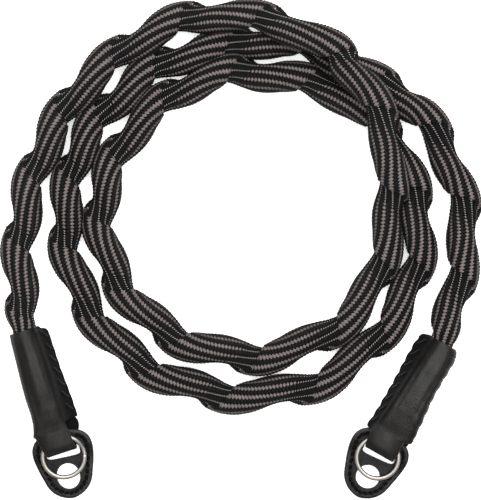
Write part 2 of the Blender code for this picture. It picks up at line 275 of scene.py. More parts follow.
def cord_surface(turns, angles, lift=0.0):
    """Points on the woven surface, at a row's angle from the cord's right side up and over."""
    between = np.cos(ROWS_OF_STITCHES * (angles - FIRST_ROW))
    angles = angles + row_sway(turns)
    phase = pinch_phase(turns, angles)
    fade = along_line(line_fade, turns)
    band = np.clip(np.minimum(phase - BAND_START, BAND_END - phase) / BAND_EDGE, 0, 1)
    ribs = -between * (RIB_DEPTH + RIB_DEPTH_IN_BAND * band)
    radius = CORD_THICKNESS / 2 * along_line(line_share, turns)
    crease = np.interp(phase, crease_phase, crease_rise)
    outer = (1 - np.cos(angles)) / 2
    swollen = crease * (1 + OUTER_SWELL * outer)
    pinched = crease * (1 - OUTER_PINCH * outer)
    crease = np.where(crease > 0, swollen, pinched)
    radius = radius + (crease + ribs) * fade + lift
    sideways = along_line(line_right, turns) * np.cos(angles)[..., None]
    upwards = along_line(line_up, turns) * np.sin(angles)[..., None]
    points = along_line(line, turns) + radius[..., None] * (sideways + upwards)
    points[..., 2] = np.maximum(points[..., 2], TABLE_CLEARANCE)
    return points


def add_piece(name, points, faces, material):
    mesh = bpy.data.meshes.new(name)
    mesh.from_pydata(np.asarray(points).reshape(-1, 3).tolist(), [], faces)
    mesh.materials.append(material)
    mesh.shade_smooth()
    mesh.update()
    piece = add_object(name, mesh)
    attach(piece, "root")
    return piece


def grid_faces(rows, columns):
    """Quads of a grid of points that is closed round its columns."""
    faces = []
    for i in range(rows - 1):
        for j in range(columns):
            k = (j + 1) % columns
            low, high = i * columns, (i + 1) * columns
            faces.append((low + j, low + k, high + k, high + j))
    return faces


def sum_node(tree, operation, *values):
    """A Math node fed with numbers or other nodes' outputs."""
    made = tree.nodes.new("ShaderNodeMath")
    made.operation = operation
    for socket, value in zip(made.inputs, values):
        if isinstance(value, (int, float)):
            socket.default_value = value
        else:
            tree.links.new(value, socket)
    return made.outputs[0]


def colour_between(tree, factor, dark, light):
    """A material's colour, mixed from two colours by a node's output."""
    made = tree.nodes.new("ShaderNodeMix")
    made.data_type = "RGBA"
    tree.links.new(factor, made.inputs["Factor"])
    made.inputs["A"].default_value = (*dark, 1)
    made.inputs["B"].default_value = (*light, 1)
    tree.links.new(made.outputs["Result"], tree.nodes["Principled BSDF"].inputs["Base Color"])


def noise_node(tree, scale, detail=3.0):
    place = tree.nodes.new("ShaderNodeTexCoord")
    made = tree.nodes.new("ShaderNodeTexNoise")
    made.inputs["Scale"].default_value = scale
    made.inputs["Detail"].default_value = detail
    tree.links.new(place.outputs["Object"], made.inputs["Vector"])
    return made.outputs["Fac"]


def painted_node(tree, name):
    """Values painted on a piece's points."""
    made = tree.nodes.new("ShaderNodeAttribute")
    made.attribute_name = name
    return made.outputs["Fac"]


def bump_node(tree, height, strength, distance):
    made = tree.nodes.new("ShaderNodeBump")
    made.inputs["Strength"].default_value = strength
    made.inputs["Distance"].default_value = distance
    tree.links.new(height, made.inputs["Height"])
    tree.links.new(made.outputs["Normal"], tree.nodes["Principled BSDF"].inputs["Normal"])


# The black rib between two rows is a herringbone: slanted yarns that meet in its middle
YARN_SLANT = 2.2
cord_yarn = new_material("black cord yarn", (0.009, 0.009, 0.0093), 0.75, 0.06)
tree = cord_yarn.node_tree
weave_place = tree.nodes.new("ShaderNodeUVMap")
weave_place.uv_map = "weave"
parts = tree.nodes.new("ShaderNodeSeparateXYZ")
tree.links.new(weave_place.outputs["UV"], parts.inputs["Vector"])
across_row = sum_node(tree, "SUBTRACT", sum_node(tree, "FRACT", parts.outputs["Y"]), 0.5)
from_middle = sum_node(tree, "ABSOLUTE", across_row)
slanted = sum_node(tree, "MULTIPLY_ADD", from_middle, YARN_SLANT, parts.outputs["X"])
wave = sum_node(tree, "SINE", sum_node(tree, "MULTIPLY", slanted, 2 * math.pi))
yarns = sum_node(tree, "MULTIPLY_ADD", wave, 0.5, 0.5)
fuzz = sum_node(tree, "MULTIPLY_ADD", noise_node(tree, 2500), 1.2, 0.1)
worn = sum_node(tree, "MULTIPLY", yarns, fuzz)
colour_between(tree, worn, (0.0006, 0.0006, 0.0007), (0.016, 0.0156, 0.016))
bump_node(tree, yarns, 0.9, 0.00016)

rings = LAST_TURN * RINGS_PER_TURN + 1
ring_turns = np.linspace(0, LAST_TURN, rings)
around = np.arange(POINTS_AROUND) / POINTS_AROUND * 2 * math.pi + FIRST_ROW
turn_grid, angle_grid = np.meshgrid(ring_turns, around, indexing="ij")
cord_points = cord_surface(turn_grid, angle_grid)
cord_faces = [face[::-1] for face in grid_faces(rings, POINTS_AROUND)]
cord_faces.append(tuple(range(POINTS_AROUND)))
cord_faces.append(tuple(reversed(range((rings - 1) * POINTS_AROUND, rings * POINTS_AROUND))))
woven_cord = add_piece("woven_cord", cord_points, cord_faces, cord_yarn)

# Stitches counted along the surface: they crowd in the bands and open out after them
pitch_phase = [-0.5, -0.30, -0.18, -0.16, 0.10, 0.13, 0.25, 0.5]
pitch_share = [1.02, 0.98, 0.96, 0.66, 0.70, 1.12, 1.06, 1.02]
surface_steps = np.linalg.norm(np.diff(cord_points, axis=0), axis=2)
surface_phase = pinch_phase(turn_grid, angle_grid + row_sway(turn_grid))
pitch_here = STITCH_PITCH * np.interp(surface_phase, pitch_phase, pitch_share)
stitch_steps = surface_steps / (pitch_here[1:] + pitch_here[:-1]) * 2
stitch_count = np.vstack([np.zeros((1, POINTS_AROUND)), np.cumsum(stitch_steps, axis=0)])

weave = woven_cord.data.uv_layers.new(name="weave")
corners = np.empty(len(woven_cord.data.loops), np.int32)
woven_cord.data.loops.foreach_get("vertex_index", corners)
ring_of, column = np.divmod(corners, POINTS_AROUND)
place_around = column.copy()
quads = place_around[: (rings - 1) * POINTS_AROUND * 4].reshape(-1, 4)
quads[(quads.max(axis=1) == POINTS_AROUND - 1)[:, None] & (quads == 0)] = POINTS_AROUND
weave_uv = np.stack([
    stitch_count[ring_of, column], place_around / POINTS_AROUND * ROWS_OF_STITCHES,
], axis=1)
weave.data.foreach_set("uv", weave_uv.ravel())

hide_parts("cord")
mouth, along, across = sleeve_axes("left")

# The stitches: floats of grey-brown yarn that stand in ten rows along the cord. They show
# between the pinched bands, small where a band ends and full size where the next one starts,
# and low on the cord's sides they carry painted shade that makes them darker.
STITCH_ALONG = 0.00057
STITCH_ACROSS = 0.00077
STITCH_RISE = 0.00026
STITCH_TOP = 0.74
STITCH_TILT = math.radians(9)
FIRST_STITCH = 0.86
SMALL_STEP = 0.005

# Corners of a stitch as shares of its half length and half width
stitch_outline = np.array([
    (1, 0.26), (0.08, 1), (-0.08, 1), (-1, 0.26),
    (-1, -0.26), (-0.08, -1), (0.08, -1), (1, -0.26),
])

stitch_yarn = new_material("grey stitch yarn", (0.135, 0.112, 0.106), 0.85, 0.12)
tree = stitch_yarn.node_tree
fuzz = sum_node(tree, "MULTIPLY_ADD", noise_node(tree, 700, 2), 0.9, 0.4)
# Painted shade, stored on the points, darkens the yarn low on the cord's sides
fuzz_and_shade = sum_node(tree, "MULTIPLY", painted_node(tree, "flank_shade"), fuzz)
colour_between(tree, fuzz_and_shade, (0.022, 0.016, 0.014), (0.165, 0.138, 0.131))
bump_node(tree, noise_node(tree, 5000, 2), 0.4, 0.0001)


def paint_points(piece, name, values):
    layer = piece.data.attributes.new(name, "FLOAT", "POINT")
    layer.data.foreach_set("value", np.asarray(values, float).ravel())


def row_turns(row):
    """Turns of every stitch of a row, each row half a stitch off the last."""
    column = row * POINTS_AROUND / ROWS_OF_STITCHES
    count = (stitch_count[:, math.floor(column)] + stitch_count[:, math.ceil(column)]) / 2
    first = np.interp(FIRST_STITCH, ring_turns, count)
    last = np.interp(LAST_TURN - FIRST_STITCH, ring_turns, count)
    return np.interp(np.arange(first + 0.5 * (row % 2), last), count, ring_turns)


def places_in_rows(shift):
    """Turn, angle, row and band phase of all places, moved across by a share of a row."""
    turns, angles, numbers = [], [], []
    for row in range(ROWS_OF_STITCHES):
        found = row_turns(row + shift)
        turns.append(found)
        angle = FIRST_ROW + 2 * math.pi * (row + shift) / ROWS_OF_STITCHES
        angles.append(np.full(len(found), angle))
        numbers.append(np.full(len(found), row))
    turns, angles = np.concatenate(turns), np.concatenate(angles)
    phase = pinch_phase(turns, angles + row_sway(turns))
    return turns, angles, np.concatenate(numbers), phase


def laid_on_cord(turns, angles, size_x, size_y, rise):
    """Points of small shapes at places on the cord, in metres along, across and off it."""
    nearby = cord_surface(turns + SMALL_STEP, angles) - cord_surface(turns, angles)
    turns_per_metre = SMALL_STEP / np.linalg.norm(nearby, axis=1)
    return cord_surface(
        turns[:, None] + size_x * turns_per_metre[:, None],
        angles[:, None] + size_y / (CORD_THICKNESS / 2), rise,
    )


def repeat_faces(one, points_in_one, count, first=0):
    """The faces of one small shape for each of a number of shapes."""
    numbers = range(first, first + count)
    return [tuple(v + points_in_one * n for v in face) for n in numbers for face in one]


place_turns, place_angles, place_row, place_phase = places_in_rows(0)
in_band = (place_phase > BAND_START) & (place_phase < BAND_END)
full = ~in_band
since_band = np.mod(place_phase[full] - BAND_END, 1)
growth = (0, 0.1, 0.3, 0.5, 0.7)
long_share = np.interp(since_band, growth, (0.86, 0.92, 0.97, 1.0, 1.0))[:, None]
wide_share = np.interp(since_band, growth, (0.72, 0.86, 0.95, 1.0, 1.04))[:, None]
tilt = np.where(place_row[full] % 2 == 0, STITCH_TILT, -STITCH_TILT / 3)[:, None]

# A stitch is its outline at the foot, the same smaller near the top, and a middle point
around_one = len(stitch_outline)
stitch_shape = np.concatenate([stitch_outline, stitch_outline * STITCH_TOP, [(0, 0)]])
stitch_heights = np.concatenate([np.full(around_one, -0.1), np.full(around_one, 0.8), [1]])
size_x = stitch_shape[:, 0] * STITCH_ALONG * long_share
size_y = stitch_shape[:, 1] * STITCH_ACROSS * wide_share
stitch_points = laid_on_cord(
    place_turns[full], place_angles[full],
    size_x * np.cos(tilt) - size_y * np.sin(tilt),
    size_x * np.sin(tilt) + size_y * np.cos(tilt), stitch_heights * STITCH_RISE * wide_share,
)
one_stitch = []
for i in range(around_one):
    j = (i + 1) % around_one
    one_stitch.append((i, i + around_one, j + around_one, j))
    one_stitch.append((i + around_one, 2 * around_one, j + around_one))
stitch_faces = repeat_faces(one_stitch, len(stitch_shape), len(size_x))
stitches = add_piece("cord_stitches", stitch_points, stitch_faces, stitch_yarn)
# Painted shade: the lower a stitch sits on the cord's side, the darker its colour
height_round = np.sin(place_angles[full] + row_sway(place_turns[full]))
painted_flank_shade = np.interp(height_round, (0.0, 0.3, 0.7, 0.95), (0.08, 0.28, 0.72, 0.86))
paint_points(stitches, "flank_shade", np.repeat(painted_flank_shade, len(stitch_shape)))

# The same yarn in the pinched bands, where it sinks between the black ribs and shows as a
# fine broken line of slanted dashes, brighter where it catches the light.
DASH_HALF_LENGTH = 0.00016
DASH_HALF_WIDTH = 0.00026
DASH_SLANT = 0.8
DASH_RISE = 0.00022

# A short ridge of yarn: its four corners and the two ends of its crest
ridge_along = np.array([-1, -1, 1, 1, -0.7, 0.7])
ridge_across = np.array([-1, 1, 1, -1, 0, 0])
ridge_up = np.array([-0.1, -0.1, -0.1, -0.1, 1, 1])
one_dash = ((0, 3, 5, 4), (2, 1, 4, 5), (1, 0, 4), (3, 2, 5))

dash_yarn = new_material("fine grey yarn", (0.27, 0.25, 0.24), 0.85, 0.15)
dash_share = np.interp(
    place_phase[in_band], [BAND_START, -0.05, BAND_END - 0.04, BAND_END], [1.1, 1.0, 0.95, 1.15]
)[:, None]
dash_x = ridge_along * DASH_HALF_LENGTH * dash_share
dash_y = ridge_across * DASH_HALF_WIDTH * dash_share + dash_x * DASH_SLANT
dash_points = laid_on_cord(
    place_turns[in_band], place_angles[in_band], dash_x, dash_y, ridge_up * DASH_RISE
)
dash_faces = repeat_faces(one_dash, len(ridge_up), len(dash_x))
dashes = add_piece("fine_yarns", dash_points, dash_faces, dash_yarn)

# The black ribs between the rows: pairs of short slanted floats of black yarn that meet in
# the rib's middle like a herringbone and roughen the cord's outline.
FLOAT_MIDDLE = 0.00033
FLOAT_HALF_LENGTH = 0.00036
FLOAT_HALF_WIDTH = 0.00036
FLOAT_SLANT = 0.7
FLOAT_RISE = 0.00018

one_float = ((0, 4, 5, 3), (4, 1, 2, 5), (0, 1, 4), (3, 5, 2))
rib_yarn = new_material("black rib yarn", (0.006, 0.006, 0.0062), 0.75, 0.08)
tree = rib_yarn.node_tree
fuzz = noise_node(tree, 1500, 2)
colour_between(tree, fuzz, (0.0008, 0.0008, 0.0009), (0.012, 0.0118, 0.012))
rib_turns, rib_angles, _, rib_phase = places_in_rows(0.5)
rib_share = np.interp(rib_phase, pitch_phase, pitch_share)[:, None]
float_y = ridge_along * FLOAT_HALF_LENGTH + FLOAT_MIDDLE
float_x = ridge_across * FLOAT_HALF_WIDTH * rib_share - float_y * FLOAT_SLANT
float_points, float_faces = [], []
for number, side in enumerate((1, -1)):
    float_points.append(laid_on_cord(
        rib_turns, rib_angles, float_x, side * float_y, ridge_up * FLOAT_RISE
    ))
    turned_float = [face[::side] for face in one_float]
    first = number * len(rib_turns)
    float_faces += repeat_faces(turned_float, len(ridge_up), len(rib_turns), first)
ribs = add_piece("black_ribs", np.concatenate(float_points), float_faces, rib_yarn)

# The sleeves: black calf leather folded round each cord end and whip-stitched shut along
# its steep side, with painted shade there. The front runs on into the tab.
LEATHER = 0.0012
SLEEVE_LENGTH = 0.0412
MM = 0.001

leather_colours = {"sleeve": (0.0075, 0.0068, 0.0063), "pad": (0.0085, 0.0083, 0.0085)}

# Millimetres: along from the mouth, free edge, ridge, sewn edge, height of the front
sleeve_forms = {
    "left": (
        (0.0, -4.5, 4.8, 5.0, 9.7),
        (0.9, -4.5, 4.8, 5.5, 9.8),
        (1.4, -4.6, 4.8, 6.9, 9.8),
        (2.4, -4.7, 4.9, 7.6, 9.8),
        (8.0, -5.1, 5.1, 7.6, 9.8),
        (14.7, -5.6, 5.2, 7.6, 9.7),
        (21.3, -6.0, 5.0, 7.9, 9.4),
        (26.4, -5.9, 4.7, 8.1, 8.8),
        (29.7, -6.2, 4.4, 8.1, 8.1),
        (31.4, -6.6, 4.2, 8.1, 7.6),
        (32.0, -6.8, 4.2, 4.4, 7.42),
        (33.6, -7.4, 4.2, 4.3, 7.1),
        (34.3, -6.9, 4.2, 4.3, 7.0),
    ),
    "right": (
        (0.0, -4.6, 4.4, 5.2, 9.7),
        (0.7, -5.2, 4.4, 7.0, 9.8),
        (2.0, -5.8, 4.4, 7.7, 9.8),
        (5.1, -6.0, 4.6, 7.9, 9.8),
        (10.5, -5.8, 4.9, 7.9, 9.8),
        (16.2, -5.8, 5.2, 7.7, 9.7),
        (20.9, -6.2, 5.4, 7.6, 9.4),
        (25.2, -6.7, 5.6, 7.6, 8.9),
        (29.9, -7.0, 5.8, 7.7, 8.0),
        (32.6, -7.3, 6.0, 7.9, 7.32),
        (33.4, -7.1, 6.2, 7.9, 7.16),
        (34.2, -5.2, 6.3, 8.0, 7.06),
        (35.2, -4.8, 6.3, 8.0, 7.0),
        (35.8, -4.7, 6.3, 6.5, 6.96),
    ),
}

# How square the section over the cord is, at places along the sleeve
squareness_places = (0, 10, 24, 30, 33.5)
sleeve_squareness = {"left": (2.0, 2.1, 2.4, 3.4, 6), "right": (2.3, 3.0, 3.4, 4.2, 6)}

# Depth of the scallops on the sewn and the free edge, first stitch and pitch of each, where
# the last stitch stands, and how far the stitches of the free edge are set in
seam_scallops = {"left": (0.12, 0.0), "right": (0.38, 0.42)}
seam_places = ((3.0, 4.1), (2.0, 4.3))
seam_ends = {"left": 31, "right": 34}
EDGE_STITCH_IN = 0.06
WAVE_MEAN = 0.6
SEAM_THREAD = 0.00034

# Creases along the front: where each starts and ends across, its width and its depth
front_creases = {
    "left": ((-2.4, -3.6, 0.9, 0.45), (0.6, 1.6, 0.8, 0.22), (2.9, 2.4, 0.6, 0.2)),
    "right": ((-1.5, 0.4, 1.2, 0.16), (2.6, 3.4, 0.7, 0.22), (-3.8, -3.0, 0.8, 0.2)),
}
SEAM_LOW = 1.7
RIDGE_ANGLE = math.radians(32)
POINTS_OVER_FRONT = 44
POINTS_DOWN_FLANK = 10
FLANK_HOLLOW = 0.35

# A stitch over each edge: which point of the section, how far along and how far off it
seam_stitch = ((48, -1.4, -0.15), (49, -0.9, 0.1), (50, 0, 0.16), (51, 0.8, 0.1), (52, 1.2, -0.15))
edge_stitch = ((12, 0.3, 0), (15, 0.2, 0), (18, 0.1, 0.04), (21, 0, 0.1), (24, -0.2, 0.08))


def end_frame(end, points, along_pad=False):
    """World places of points given in millimetres along, across and up from a mouth or fold."""
    start, along, across = sleeve_axes(end)
    if along_pad:
        start = start + along * SLEEVE_LENGTH
        _, _, lean, side = ends[end]
        along, across = axes_of(lean, side)
    points = np.asarray(points, float) * MM
    flat = start + points[..., :1] * along + points[..., 1:2] * across
    return np.concatenate([flat, points[..., 2:]], axis=-1)


def sleeve_row(end, at):
    """Free edge, ridge, sewn edge and height at one distance along a sleeve."""
    form = np.array(sleeve_forms[end])
    free, ridge, sewn, top = (np.interp(at, form[:, 0], form[:, k]) for k in range(1, 5))
    waves = [abs(math.sin(math.pi * (at - first) / pitch)) for first, pitch in seam_places]
    scalloped = np.interp(at, (0, 2, 31, 34), (0, 1, 1, 0))
    if sewn > ridge + 1:
        sewn += seam_scallops[end][0] * (waves[0] - WAVE_MEAN)
    free -= seam_scallops[end][1] * (waves[1] - WAVE_MEAN) * scalloped
    return free, ridge, sewn, top


def squared(value, power):
    """A sine or cosine for the outline of a rounded box: the lower the power, the squarer."""
    return math.copysign(abs(value) ** power, value)


def sleeve_section(end, at):
    """The front from the table up to the ridge, the steep flank, the flange and the underside."""
    free, ridge, sewn, top = sleeve_row(end, at)
    middle, half = (free + ridge) / 2, (ridge - free) / 2
    power = 2 / np.interp(at, squareness_places, sleeve_squareness[end])
    crease_fade = np.interp(at, (0, 3, 10, 24, 31), (0, 0.4, 1, 1, 0))
    section = []
    for angle in np.linspace(-math.pi / 2, -2 * math.pi + RIDGE_ANGLE, POINTS_OVER_FRONT):
        c, s = math.cos(angle), math.sin(angle)
        y = middle + squared(c, power) * half
        z = top / 2 * (1 + squared(s, power))
        if s > 0:
            for start, finish, width, depth in front_creases[end]:
                away = (y - np.interp(at, (0, 32), (start, finish))) / width
                z -= depth * math.exp(-away * away) * s * crease_fade
        section.append((at, y, z))
    _, last_y, last_z = section[-1]
    for share in np.linspace(0.08, 1, POINTS_DOWN_FLANK):
        bend = FLANK_HOLLOW * math.sin(math.pi * share)
        y = last_y + (sewn - 0.2 - last_y) * share - bend
        section.append((at, y, last_z + (SEAM_LOW - last_z) * share - bend))
    section += [(at, sewn, SEAM_LOW - 0.35), (at, sewn - 0.05, 0.5), (at, sewn - 0.4, 0.12)]
    for share in (0.3, 0.65):
        section.append((at, sewn - 0.4 + (middle - sewn + 0.4) * share, 0.06))
    return np.array(section)


def mouth_section(end, at, radius):
    """A round section inside a sleeve's mouth, point for point like the outer ones."""
    outer = sleeve_section(end, 0)
    centre = (0, CORD_OFFSET / MM, CORD_HEIGHT_IN_SLEEVE / MM)
    angle = np.arctan2(outer[:, 2] - centre[2], outer[:, 1] - centre[1])
    depth = np.full(len(angle), at)
    return np.stack([depth, radius * np.cos(angle), radius * np.sin(angle)], axis=1) + centre


# Leather grain: pores and soft creases. The creases lighten the colour where they rise, and
# the painted light and shade on the points scales the colour: below one for painted shade, above
# one for painted highlight.
PORE_DEPTH = 0.35
CREASE_LIGHT = 2.4
LIGHT_SHIFT = -0.2
CREASE_GLOSS = -0.2
GLOSS_SHIFT = 0.1
DULLEST = 0.92
PALE_GLOSS = 0.52
grain = bpy.data.node_groups.new("leather grain", "ShaderNodeTree")
for label, kind, value in (
    ("Leather", "NodeSocketColor", (0.01, 0.01, 0.01, 1)),
    ("Painted Shading", "NodeSocketFloat", 1), ("Creases", "NodeSocketFloat", 300),
    ("Pores", "NodeSocketFloat", 2400), ("Stretch", "NodeSocketFloat", 0.3),
):
    grain.interface.new_socket(label, in_out="INPUT", socket_type=kind).default_value = value
for label, kind in (
    ("Color", "NodeSocketColor"), ("Height", "NodeSocketFloat"), ("Roughness", "NodeSocketFloat"),
):
    grain.interface.new_socket(label, in_out="OUTPUT", socket_type=kind)
given = grain.nodes.new("NodeGroupInput").outputs
result = grain.nodes.new("NodeGroupOutput").inputs
place = grain.nodes.new("ShaderNodeTexCoord")
pores = grain.nodes.new("ShaderNodeTexVoronoi")
creases = grain.nodes.new("ShaderNodeTexNoise")
creases.inputs["Detail"].default_value = 6
stretched = grain.nodes.new("ShaderNodeMapping")
for socket, source in (
    (stretched.inputs["Vector"], place.outputs["Object"]),
    (creases.inputs["Vector"], stretched.outputs["Vector"]),
    (creases.inputs["Scale"], given["Creases"]),
    (pores.inputs["Vector"], place.outputs["Object"]), (pores.inputs["Scale"], given["Pores"]),
):
    grain.links.new(source, socket)
squash = grain.nodes.new("ShaderNodeCombineXYZ")
squash.inputs["X"].default_value = 1
squash.inputs["Z"].default_value = 1
grain.links.new(given["Stretch"], squash.inputs["Y"])
grain.links.new(squash.outputs["Vector"], stretched.inputs["Scale"])
height = sum_node(
    grain, "MULTIPLY_ADD", pores.outputs["Distance"], PORE_DEPTH, creases.outputs["Fac"]
)
worn = sum_node(grain, "MULTIPLY_ADD", creases.outputs["Fac"], CREASE_LIGHT, LIGHT_SHIFT)
shade = sum_node(grain, "MULTIPLY", worn, given["Painted Shading"])
tint = grain.nodes.new("ShaderNodeVectorMath")
tint.operation = "SCALE"
grain.links.new(given["Leather"], tint.inputs[0])
grain.links.new(shade, tint.inputs["Scale"])
grain.links.new(tint.outputs["Vector"], result["Color"])
grain.links.new(height, result["Height"])
dull = sum_node(grain, "MULTIPLY_ADD", given["Painted Shading"], -PALE_GLOSS, DULLEST)
gloss = sum_node(grain, "MULTIPLY_ADD", creases.outputs["Fac"], CREASE_GLOSS, GLOSS_SHIFT)
grain.links.new(sum_node(grain, "ADD", dull, gloss), result["Roughness"])


def leather(name, colour, creases, pores, stretch, strength):
    """Leather whose painted light and shade is stored on the piece's points."""
    made = new_material(name, colour, 0.45, 0.12)
    tree = made.node_tree
    shader = tree.nodes["Principled BSDF"]
    surface = tree.nodes.new("ShaderNodeGroup")
    surface.node_tree = grain
    surface.inputs["Leather"].default_value = (*colour, 1)
    for label, value in (("Creases", creases), ("Pores", pores), ("Stretch", stretch)):
        surface.inputs[label].default_value = value
    tree.links.new(painted_node(tree, "painted_shading"), surface.inputs["Painted Shading"])
    tree.links.new(surface.outputs["Color"], shader.inputs["Base Color"])
    tree.links.new(surface.outputs["Roughness"], shader.inputs["Roughness"])
    bump_node(tree, surface.outputs["Height"], strength, 0.0003)
    return made


def face_outwards(mesh):
    edit = bmesh.new()
    edit.from_mesh(mesh)
    bmesh.ops.recalc_face_normals(edit, faces=edit.faces)
    edit.to_mesh(mesh)
    edit.free()


def smooth_skin(name, sections, material, sharp=50):
    """A closed skin through sections with the same number of points, with both ends filled."""
    rows, columns = len(sections), len(sections[0])
    faces = grid_faces(rows, columns)
    faces.append(tuple(reversed(range(columns))))
    faces.append(tuple(range((rows - 1) * columns, rows * columns)))
    piece = add_piece(name, np.concatenate(sections), faces, material)
    face_outwards(piece.data)
    piece.data.set_sharp_from_angle(angle=math.radians(sharp))
    return piece


# How far round from its very tip a thread starts, so that its ends stay blunt
BLUNT_TIP = 0.25


def threads(name, lines, radius, material, sides=7):
    """Short round threads along lines of points, thinner at their ends, in one piece."""
    points, faces = [], []
    for thread in lines:
        thread = np.asarray(thread, float)
        direction = unit(np.gradient(thread, axis=0))
        side = unit(np.cross(direction, (0.3, 0.2, 1.0)))
        up = np.cross(direction, side)
        swell = np.sin(np.linspace(BLUNT_TIP, math.pi - BLUNT_TIP, len(thread))) ** 0.5
        start = len(points)
        for k in range(len(thread)):
            for i in range(sides):
                angle = 2 * math.pi * i / sides
                offset = side[k] * math.cos(angle) + up[k] * math.sin(angle)
                points.append(thread[k] + offset * radius * swell[k])
        for a, b, c, d in grid_faces(len(thread), sides):
            faces.append((start + a, start + b, start + c, start + d))
        last = start + (len(thread) - 1) * sides
        faces.append(tuple(start + i for i in reversed(range(sides))))
        faces.append(tuple(last + i for i in range(sides)))
    piece = add_piece(name, points, faces, material)
    face_outwards(piece.data)
    return piece


def sewn_along(end, places, stitch, inwards=0):
    """The lines of the stitches along one edge of a sleeve."""
    first, pitch = places
    sewing = []
    for at in np.arange(first, seam_ends[end], pitch):
        points = [
            sleeve_section(end, at + shift)[k] + (0, inwards, lift) for k, shift, lift in stitch
        ]
        sewing.append(end_frame(end, points))
    return sewing


# Millimetres along, height and both edges of the tab, front layer first and then the back
tab_forms = {
    "left": (
        (31.5, 6.40, -6.0, 3.6), (32.5, 6.42, -6.4, 3.8), (33.6, 6.45, -6.7, 4.0),
        (34.9, 6.46, -6.5, 4.2), (37.3, 6.44, -6.1, 4.4), (39.2, 6.3, -5.6, 4.6),
        (40.3, 5.6, -5.2, 4.8), (40.65, 4.2, -5.0, 4.8), (40.55, 2.6, -5.0, 4.8),
        (40.0, 1.2, -5.0, 4.8), (38.8, 0.66, -5.0, 5.0), (36.8, 0.62, -5.2, 6.0),
        (35.0, 0.62, -5.4, 7.3), (32.6, 0.62, -5.4, 7.6), (30.0, 0.62, -5.4, 6.0),
    ),
    "right": (
        (31.5, 6.40, -4.6, 5.2), (32.8, 6.42, -4.6, 5.6), (34.0, 6.45, -4.6, 6.0),
        (35.8, 6.46, -4.7, 6.3), (37.4, 6.44, -5.0, 6.2), (39.2, 6.3, -5.0, 5.9),
        (40.4, 5.6, -4.9, 5.5), (40.75, 4.2, -4.9, 5.3), (40.65, 2.6, -4.9, 5.2),
        (40.1, 1.2, -4.9, 5.2), (38.8, 0.66, -5.1, 5.2), (36.8, 0.62, -5.4, 5.4),
        (35.0, 0.62, -6.6, 5.6), (32.6, 0.62, -6.8, 6.0), (30.0, 0.62, -5.8, 6.0),
    ),
}
TAB_SECTIONS = 70
TAB_CORNERS = 10
TAB_EDGE = 0.25


def tab_sections(end):
    """A band of leather that comes off the front, folds back and goes under the sleeve."""
    form = np.array(tab_forms[end])
    knots = np.arange(len(form))
    fine = np.linspace(0, len(form) - 1, TAB_SECTIONS)
    rows = smooth_line(np.column_stack([knots, form]), fine)
    direction = unit(np.gradient(rows[:, :2], axis=0))
    out = np.stack([-direction[:, 1], direction[:, 0]], axis=1)
    half = LEATHER / MM / 2
    low, high = -half + TAB_EDGE, half - TAB_EDGE
    sections = []
    for row, normal in zip(rows, out):
        _, _, near, far = row
        middle = near * 0.5 + far * 0.5
        corners = (
            (near, low), (near, high), (near + TAB_EDGE, half), (middle, half),
            (far - TAB_EDGE, half), (far, high), (far, low), (far - TAB_EDGE, -half),
            (middle, -half), (near + TAB_EDGE, -half),
        )
        sections.append([
            (row[0] + normal[0] * lift, y, max(row[1] + normal[1] * lift, 0.02))
            for y, lift in corners
        ])
    return sections


# Painted light and shade round a section, as a share of the leather's colour (under one is painted
# shade): underside, free side, front, ridge and sewn side, each at a point of the section, and
# along the tab from its front to its hidden back
shading_points = (0, 15, 25, 38, 43, 48, 60)
shading_round = {
    "left": (0.3, 0.3, 1.0, 1.0, 0.35, 0.12, 0.2), "right": (0.3, 0.4, 1.1, 1.15, 0.25, 0.1, 0.2),
}
shading_tab_sections = (0, 26, 34, TAB_SECTIONS - 1)

# Depth and radius of the round sections inside the mouth
mouth_rings = ((6, 3.75), (0.25, 3.75), (0.0, 3.95))
seam_thread = new_material("black seam thread", (0.0055, 0.0055, 0.0058), 0.5, 0.15)
for end in ends:
    hide = leather(
        end + " sleeve leather", leather_colours["sleeve"],
        creases=300, pores=2400, stretch=0.3, strength=0.5,
    )
    # The mouth's lip and the closed far end are drawn in a little, so that they look rounded
    sections = [mouth_section(end, at, radius) for at, radius in mouth_rings]
    sections.append(sleeve_section(end, 0.0) * (1, 0.97, 0.985) + (0, 0, 0.07))
    far = sleeve_forms[end][-1][0]
    stations = np.concatenate([np.arange(0.3, 1.6, 0.3), np.arange(2.0, far, 0.35)])
    sections += [sleeve_section(end, at) for at in stations]
    last = sleeve_section(end, stations[-1])
    centre = last.mean(axis=0)
    sections.append(last * (1, 0.93, 0.9) + centre * (0, 0.07, 0.1) + (0.2, 0, 0))
    body = smooth_skin(end + "_sleeve_skin", [end_frame(end, s) for s in sections], hide)
    # Painted shade darkens the underside, the flanks and the sewn side, and the right sleeve's
    # front gets a little painted highlight
    painted_shading = np.interp(np.arange(len(last)), shading_points, shading_round[end])
    paint_points(body, "painted_shading", np.tile(painted_shading, len(sections)))
    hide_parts(end + "_sleeve")

    tab = smooth_skin(end + "_tab", [end_frame(end, s) for s in tab_sections(end)], hide)
    # Painted shade darkens the tab from its front round the fold to its hidden back
    front_shading = shading_round[end][2]
    painted_shading = np.interp(
        np.arange(TAB_SECTIONS), shading_tab_sections, (front_shading, 0.85, 0.3, 0.15)
    )
    paint_points(tab, "painted_shading", np.repeat(painted_shading, TAB_CORNERS))

    stitches = sewn_along(end, seam_places[0], seam_stitch)
    if seam_scallops[end][1] > 0:
        stitches += sewn_along(end, seam_places[1], edge_stitch, EDGE_STITCH_IN)
    seam = threads(end + "_seam_stitches", stitches, SEAM_THREAD, seam_thread)

